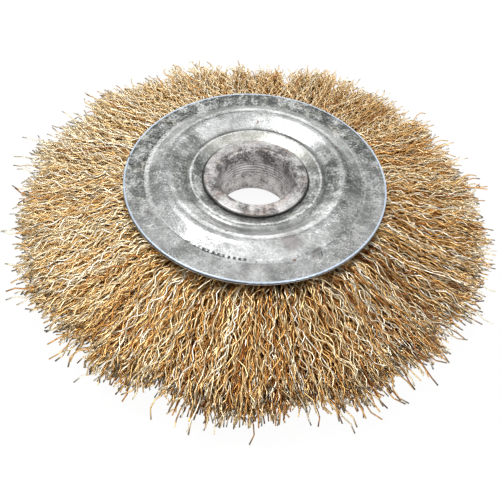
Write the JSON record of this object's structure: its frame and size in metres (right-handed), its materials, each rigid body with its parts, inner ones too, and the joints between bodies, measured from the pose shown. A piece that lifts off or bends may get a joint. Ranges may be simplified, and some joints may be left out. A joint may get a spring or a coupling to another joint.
{
  "type": "crimped wire wheel brush",
  "caption": "Crimped wire wheel brush with pressed side plates and a rolled hub bush, for a bench or angle grinder.",
  "frame": {"origin": "centre of the bore, on the mid-plane between the two plates", "axes": "+Z along the spin axis, out of the front plate; +X and +Y lie in the wheel's plane; the wheel lies flat on its rear plate"},
  "size_m": [0.125, 0.125, 0.021],
  "materials": {
    "zinc_plate": "zinc-plated pressed steel, satin, with dull grey-green stains",
    "bush_steel": "turned steel with rolled ends, dull",
    "ring_steel": "plain round steel wire",
    "brass_coated_wire": "crimped steel wire, brass coated, with dark cut tips"
  },
  "bodies": {
    "root": {"front_plate": "zinc_plate", "rear_plate": "zinc_plate", "front_inner_plate": "zinc_plate", "rear_inner_plate": "zinc_plate", "hub_bush": "bush_steel", "anchor_ring": "ring_steel", "wire_hank_01": "brass_coated_wire", "wire_hank_02": "brass_coated_wire", "wire_hank_03": "brass_coated_wire", "wire_hank_04": "brass_coated_wire", "wire_hank_05": "brass_coated_wire", "wire_hank_06": "brass_coated_wire", "wire_hank_07": "brass_coated_wire", "wire_hank_08": "brass_coated_wire", "wire_hank_09": "brass_coated_wire", "wire_hank_10": "brass_coated_wire", "wire_hank_11": "brass_coated_wire", "wire_hank_12": "brass_coated_wire", "wire_hank_13": "brass_coated_wire", "wire_hank_14": "brass_coated_wire", "wire_hank_15": "brass_coated_wire", "wire_hank_16": "brass_coated_wire", "wire_hank_17": "brass_coated_wire", "wire_hank_18": "brass_coated_wire", "wire_hank_19": "brass_coated_wire", "wire_hank_20": "brass_coated_wire", "wire_hank_21": "brass_coated_wire", "wire_hank_22": "brass_coated_wire", "wire_hank_23": "brass_coated_wire", "wire_hank_24": "brass_coated_wire"}
  },
  "joints": []
}
